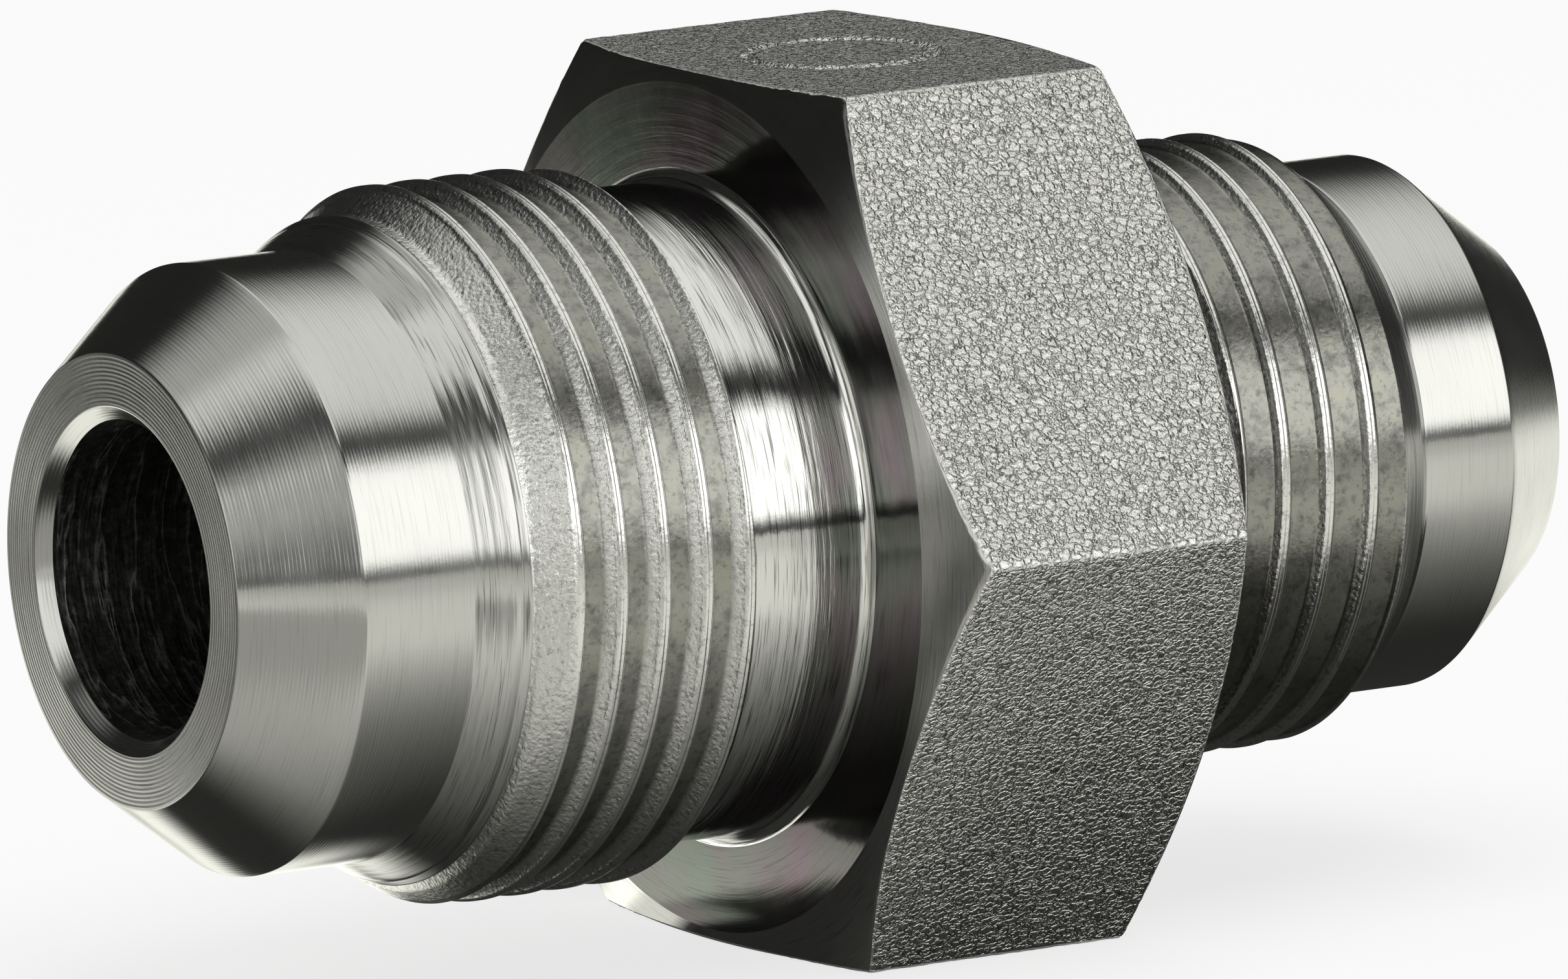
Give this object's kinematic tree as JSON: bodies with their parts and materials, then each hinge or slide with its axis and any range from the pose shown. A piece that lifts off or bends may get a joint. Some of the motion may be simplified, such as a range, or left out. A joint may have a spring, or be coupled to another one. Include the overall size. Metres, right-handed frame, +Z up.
{
  "type": "straight hydraulic adapter",
  "caption": "Straight male-to-male hydraulic tube adapter turned from hexagonal bar: flared cone seats, two different external threads, a wrench hexagon and a through bore.",
  "frame": {"origin": "on the resting plane, under the middle of the part's bounding box", "axes": "+X along the bore axis towards the smaller, rear thread; +Z up, square to the resting flat of the hexagon; +Y across"},
  "size_m": [0.048, 0.0312, 0.027],
  "materials": {
    "adapter_body": "bright turned steel with fine tool rings, rolled threads in satin, and rough drawn hexagon flats"
  },
  "bodies": {
    "root": {"adapter_body": "adapter_body"}
  },
  "joints": []
}
